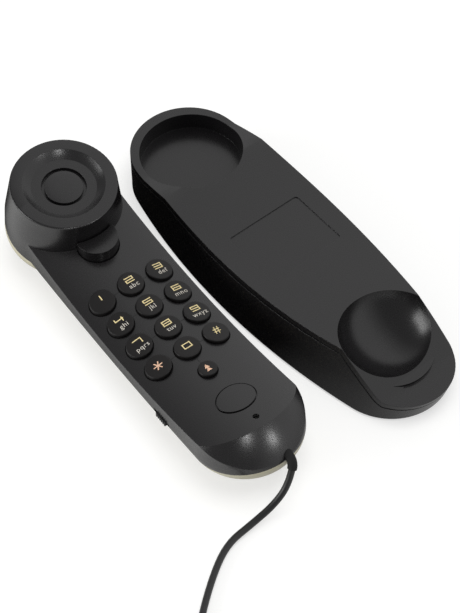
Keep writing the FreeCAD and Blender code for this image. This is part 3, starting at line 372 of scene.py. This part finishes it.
# Small pieces of the scene alone
def make_spring():
    """The hook spring as a piece of its own: a copy of its solid, joined to the handset."""
    solid = nodes["hook_spring"]
    mesh = solid.data.copy()
    mesh.transform(solid.matrix_world)
    coil = bpy.data.objects.new("hook_spring_coil", mesh)
    bpy.context.scene.collection.objects.link(coil)
    dress_node(coil, steel)
    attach(coil, "handset")
    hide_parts("hook_spring")
    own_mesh(coil)


def make_seam_backing():
    """A thin strip behind the cradle's seam, where the bowl comes through to it."""
    start, end = Vector((72.4, 57.3, 21.8)) * MM, Vector((66.5, 57.5, 24.8)) * MM
    width, thick = 1.0 * MM, 0.25 * MM
    along = (end - start).normalized()
    outward = Vector((-0.208, 0.978, 0))
    outward = (outward - along * outward.dot(along)).normalized()
    across = outward.cross(along)
    turn = Matrix((along * (end - start).length, across * width, outward * thick)).transposed().to_4x4()
    bpy.ops.mesh.primitive_cube_add(size=1.0, location=(0, 0, 0))
    strip = bpy.context.object
    strip.name = "seam_backing"
    strip.data.transform(Matrix.Translation((start + end) / 2) @ turn)
    paint(strip, dark_abs)
    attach(strip, "cradle")


make_spring()
make_seam_backing()


# Flat marks on the handset, in millimetres
DROP_HEIGHT = 45
INK_GAP = 0.04 * MM
FIGURE_WIDTH, FIGURE_HEIGHT, FIGURE_STROKE = 3.9, 2.6, 0.5
STAR_REACH, STAR_STROKE = 2.3, 0.55
HASH_SIZE, LETTER_SIZE = 6.0, 3.5
ARROW_RADIUS, ARROW_SPREAD = 1.5, 0.9
GROOVE_WIDTH, GROOVE_SHORT = 0.32, 0.5


def deselect():
    for thing in bpy.context.selected_objects:
        thing.select_set(False)


def handset_matrix(along, across):
    """Place above the handset, reading across it with the top towards the earpiece."""
    lie = Matrix.Translation(HANDSET_AT) @ Matrix.Rotation(HANDSET_YAW, 4, "Z")
    spot = Matrix.Translation(Vector((along, across, DROP_HEIGHT)) * MM)
    return lie @ spot @ Matrix.Rotation(math.pi / 2, 4, "Z")


def lay_on(piece, target):
    """Drop a flat piece straight down on to the surface below it."""
    drop = piece.modifiers.new("lie_on_surface", "SHRINKWRAP")
    drop.target = target
    drop.wrap_method = "PROJECT"
    drop.use_project_z = True
    drop.use_positive_direction = False
    drop.use_negative_direction = True
    drop.offset = INK_GAP
    deselect()
    piece.select_set(True)
    bpy.context.view_layer.objects.active = piece
    bpy.ops.object.modifier_apply(modifier=drop.name)


def settle(piece, matrix, target, body, material):
    """Put a flat piece in its place on the handset and join it to its body."""
    piece.data.transform(matrix)
    piece.matrix_world = Matrix.Identity(4)
    lay_on(piece, target)
    paint(piece, material)
    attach(piece, body)


def bars(name, strokes, width, height, thick):
    """Upright and level bars of a squared figure, drawn round the origin."""
    deselect()
    bpy.ops.mesh.primitive_plane_add(size=1.0, location=(0, 0, 0))
    piece = bpy.context.object
    piece.name = name
    bpy.ops.object.mode_set(mode="EDIT")
    bpy.ops.mesh.delete(type="VERT")
    for (x0, y0), (x1, y1) in strokes:
        middle = Vector(((x0 + x1) / 2 * width, (y0 + y1) / 2 * height, 0)) * MM
        size = Vector((abs(x1 - x0) * width + thick, abs(y1 - y0) * height + thick, 1000)) * MM
        bpy.ops.mesh.primitive_plane_add(size=1.0, location=middle)
        bpy.ops.transform.resize(value=size, center_override=middle)
    bpy.ops.object.mode_set(mode="OBJECT")
    return piece


def lettering(name, text, size):
    """Small letters, centred on the origin."""
    deselect()
    bpy.ops.object.text_add(location=(0, 0, 0))
    piece = bpy.context.object
    piece.name = name
    piece.data.body = text
    piece.data.size = size * MM
    piece.data.align_x = "CENTER"
    piece.data.align_y = "CENTER"
    piece.data.space_character = 1.12
    piece.data.resolution_u = 3
    bpy.ops.object.convert(target="MESH")
    return bpy.context.object


# Squared figures as bars between corners of a cell
A, B, C, D, E, F = (-0.5, 0.5), (0.5, 0.5), (0.5, 0), (0.5, -0.5), (-0.5, -0.5), (-0.5, 0)
FIGURES = {
    "key_1": [((0, 0.45), (0, -0.45))],
    "key_2": [(A, B), (B, C), (C, F), (F, E), (E, D)],
    "key_3": [(A, B), (F, C), (E, D), (B, D)],
    "key_4": [(A, F), (F, C), ((0.4, 0.3), (0.4, -0.5))],
    "key_5": [(B, A), (A, F), (F, C), (C, D), (D, E)],
    "key_6": [(B, A), (A, E), (E, D), (D, C), (C, F)],
    "key_7": [(A, B), (B, D)],
    "key_8": [(A, B), (F, C), (E, D), (A, E), (B, D)],
    "key_9": [(F, C), (A, B), (A, F), (B, D), (D, E)],
    "key_0": [(A, B), (B, D), (D, E), (E, A)],
}
LETTERS = {
    "key_2": "abc", "key_3": "def", "key_4": "ghi", "key_5": "jkl",
    "key_6": "mno", "key_7": "pqrs", "key_8": "tuv", "key_9": "wxyz",
}


def star_mark(name):
    """A star of six thin arms."""
    deselect()
    bpy.ops.mesh.primitive_plane_add(size=1.0, location=(0, 0, 0))
    star = bpy.context.object
    star.name = name
    bpy.ops.object.mode_set(mode="EDIT")
    bpy.ops.mesh.delete(type="VERT")
    for arm in range(3):
        turn = math.radians(60 * arm)
        bpy.ops.mesh.primitive_plane_add(size=1.0, location=(0, 0, 0), rotation=(0, 0, turn))
        bpy.ops.transform.resize(
            value=(2 * STAR_REACH * MM, STAR_STROKE * MM, 1), center_override=(0, 0, 0),
            orient_type="GLOBAL", orient_matrix=Matrix.Rotation(turn, 3, "Z"), orient_matrix_type="GLOBAL",
        )
    bpy.ops.object.mode_set(mode="OBJECT")
    return star


def key_legends():
    """Figures on the keys, and letters below them."""
    for row, names in enumerate(KEY_NAMES):
        for column, name in enumerate(names):
            along, across = (row - 1.5) * ROW_PITCH, (column - 1) * COLUMN_PITCH
            ink = digit_ink
            if name in FIGURES:
                figure = bars(name + "_figure", FIGURES[name], FIGURE_WIDTH, FIGURE_HEIGHT, FIGURE_STROKE)
                rise, shift = (0.6, 0.3) if name == "key_0" else (1.8, 0.3)
            elif name == "key_star":
                figure, ink = star_mark(name + "_figure"), redial_ink
                rise, shift = 0.2, 0.0
            else:
                figure = lettering(name + "_figure", "#", HASH_SIZE)
                rise, shift = 0.7, 0.8
            spot = handset_matrix(along - rise, across + shift)
            settle(figure, spot, nodes[name], name, ink)
            if name in LETTERS:
                letters = lettering(name + "_letters", LETTERS[name], LETTER_SIZE)
                spot = handset_matrix(along + 1.9, across + 0.6)
                settle(letters, spot, nodes[name], name, letter_ink)


def redial_mark():
    """Two small arrowheads that point back towards the earpiece."""
    deselect()
    arrow = {"vertices": 3, "radius": ARROW_RADIUS * MM, "fill_type": "NGON"}
    bpy.ops.mesh.primitive_circle_add(location=(0, ARROW_SPREAD * MM, 0), **arrow)
    mark = bpy.context.object
    mark.name = "redial_mark"
    bpy.ops.object.mode_set(mode="EDIT")
    bpy.ops.mesh.primitive_circle_add(location=(0, -ARROW_SPREAD * MM, 0), **arrow)
    bpy.ops.object.mode_set(mode="OBJECT")
    bpy.ops.object.transform_apply(location=True, rotation=True, scale=True)
    spot = handset_matrix(REDIAL_PLACE, 0)
    settle(mark, spot, nodes["redial_key"], "redial_key", redial_ink)


def key_links():
    """Flat near-black strips of painted shade where fine moulded grooves join neighbouring keys, ending just
    short of the key wells.
    """
    face = nodes["handset_front_cover"]
    reach = COLUMN_PITCH - 2 * (KEY_RADIUS + KEY_GAP) - GROOVE_SHORT
    for row in range(len(KEY_NAMES)):
        for side in (-0.5, 0.5):
            link = bars(f"key_link_{row}_{int(side * 2)}", [(F, C)], reach, 1.0, GROOVE_WIDTH)
            spot = handset_matrix((row - 1.5) * ROW_PITCH, side * COLUMN_PITCH)
            settle(link, spot, face, "handset", painted_groove_shade)
    start = 1.5 * ROW_PITCH + KEY_RADIUS + KEY_GAP
    end = REDIAL_PLACE - REDIAL_RADIUS - KEY_GAP
    link = bars("redial_link", [((0, -0.5), (0, 0.5))], 1.0, end - start - GROOVE_SHORT, GROOVE_WIDTH)
    spot = handset_matrix((start + end) / 2, 0)
    settle(link, spot, face, "handset", painted_groove_shade)


key_legends()
redial_mark()
key_links()


# Floor, light and background
FLOOR_SIZE, FLOOR_HEIGHT, FLOOR_GLOW = 6.0, -0.0002, 0.55


def make_floor():
    """A pale floor. Mirrored in the pieces, it shows a painted dark patch under and beyond the phone: painted
    shade in their reflections.
    """
    deselect()
    bpy.ops.mesh.primitive_plane_add(size=FLOOR_SIZE, location=(0, 0, FLOOR_HEIGHT))
    floor = bpy.context.object
    floor.name = "pale_floor"
    material, tree = new_material("pale_floor")
    ray, seen = seen_rays(tree)
    spot = add(tree, "SeparateXYZ", {"Vector": add(tree, "TexCoord").outputs["Object"]})
    # Mask of the painted reflected shade: under and beyond the phone, weaker along its length
    beside = add(tree, "MapRange", {
        "Value": spot.outputs["Y"], "From Min": -0.09, "From Max": -0.06, "To Min": 0.0, "To Max": 1.0,
    })
    before = add(tree, "MapRange", {
        "Value": spot.outputs["X"], "From Min": 0.03, "From Max": 0.10, "To Min": 1.0, "To Max": 0.35,
    })
    shade = maths(tree, "MULTIPLY", beside.outputs["Result"], before.outputs["Result"])
    # Painted shade for mirrored rays only: there the floor loses its glow and turns near black
    shade = maths(tree, "MULTIPLY", shade, ray["Is Glossy Ray"])
    glow = maths(tree, "MULTIPLY", seen, FLOOR_GLOW)
    glow = maths(tree, "MULTIPLY", glow, maths(tree, "SUBTRACT", 1.0, shade))
    tone = add(tree, "MixRGB", {"Fac": shade, "Color1": colour("#bdbdbb"), "Color2": colour("#1c1b1a")})
    shader = add(tree, "BsdfPrincipled", {
        "Base Color": tone.outputs["Color"], "Roughness": 0.9, "Specular IOR Level": 0.0,
        "Emission Color": colour("#ffffff"), "Emission Strength": glow,
    })
    finish_material(tree, shader)
    paint(floor, material)


def make_lamp(name, place, target, size, power):
    """An area lamp, in metres and watts, that faces its target."""
    data = bpy.data.lights.new(name, "AREA")
    data.shape = "RECTANGLE"
    data.size, data.size_y = size
    data.energy = power
    lamp = bpy.data.objects.new(name, data)
    bpy.context.scene.collection.objects.link(lamp)
    lamp.location = place
    lamp.rotation_euler = (Vector(target) - Vector(place)).to_track_quat("-Z", "Y").to_euler()
    return lamp


def light_only(lamp, *names):
    """Keep a small lamp's light to some pieces."""
    lit = bpy.data.collections.new(lamp.name + "_pieces")
    for name in names:
        lit.objects.link(nodes[name])
    lamp.light_linking.receiver_collection = lit


def make_world():
    """A white background that is dimmer on the left in the pieces' shine."""
    world = bpy.data.worlds.new("studio")
    bpy.context.scene.world = world
    world.use_nodes = True
    tree = world.node_tree
    tree.nodes.clear()
    ray, seen = seen_rays(tree)
    way = add(tree, "SeparateXYZ", {"Vector": add(tree, "TexCoord").outputs["Generated"]})
    fade = add(tree, "MapRange", {
        "Value": way.outputs["Y"], "From Min": -0.3, "From Max": 0.35, "To Min": 0.3, "To Max": 0.95,
    })
    bright = maths(tree, "MAXIMUM", fade.outputs["Result"], ray["Is Camera Ray"])
    white = add(tree, "Background", {"Color": colour("#ffffff"), "Strength": bright})
    soft = add(tree, "Background", {"Color": colour("#f4f4f6"), "Strength": 0.5})
    mix = add(tree, "MixShader", {0: seen, 1: soft.outputs[0], 2: white.outputs[0]})
    add(tree, "OutputWorld", {"Surface": mix.outputs[0]})


make_floor()
overhead = make_lamp("overhead_softbox", (0.10, 0.15, 1.3), (0, 0, 0), (0.9, 0.9), 9.0)
overhead.visible_glossy = False
make_lamp("left_softbox", (-0.52, -1.10, 0.44), (0, 0, 0.02), (0.9, 0.5), 8.0)
for name, place in (("near_spot", (0.90, -0.40, 0.85)), ("right_spot", (1.12, 0.30, 0.54))):
    spot = make_lamp(name, place, (0.08, -0.05, 0.03), (0.2, 0.2), 2.0)
    light_only(spot, "handset_front_cover", "earpiece_disc")
make_world()
bpy.context.scene.view_settings.view_transform = "Standard"
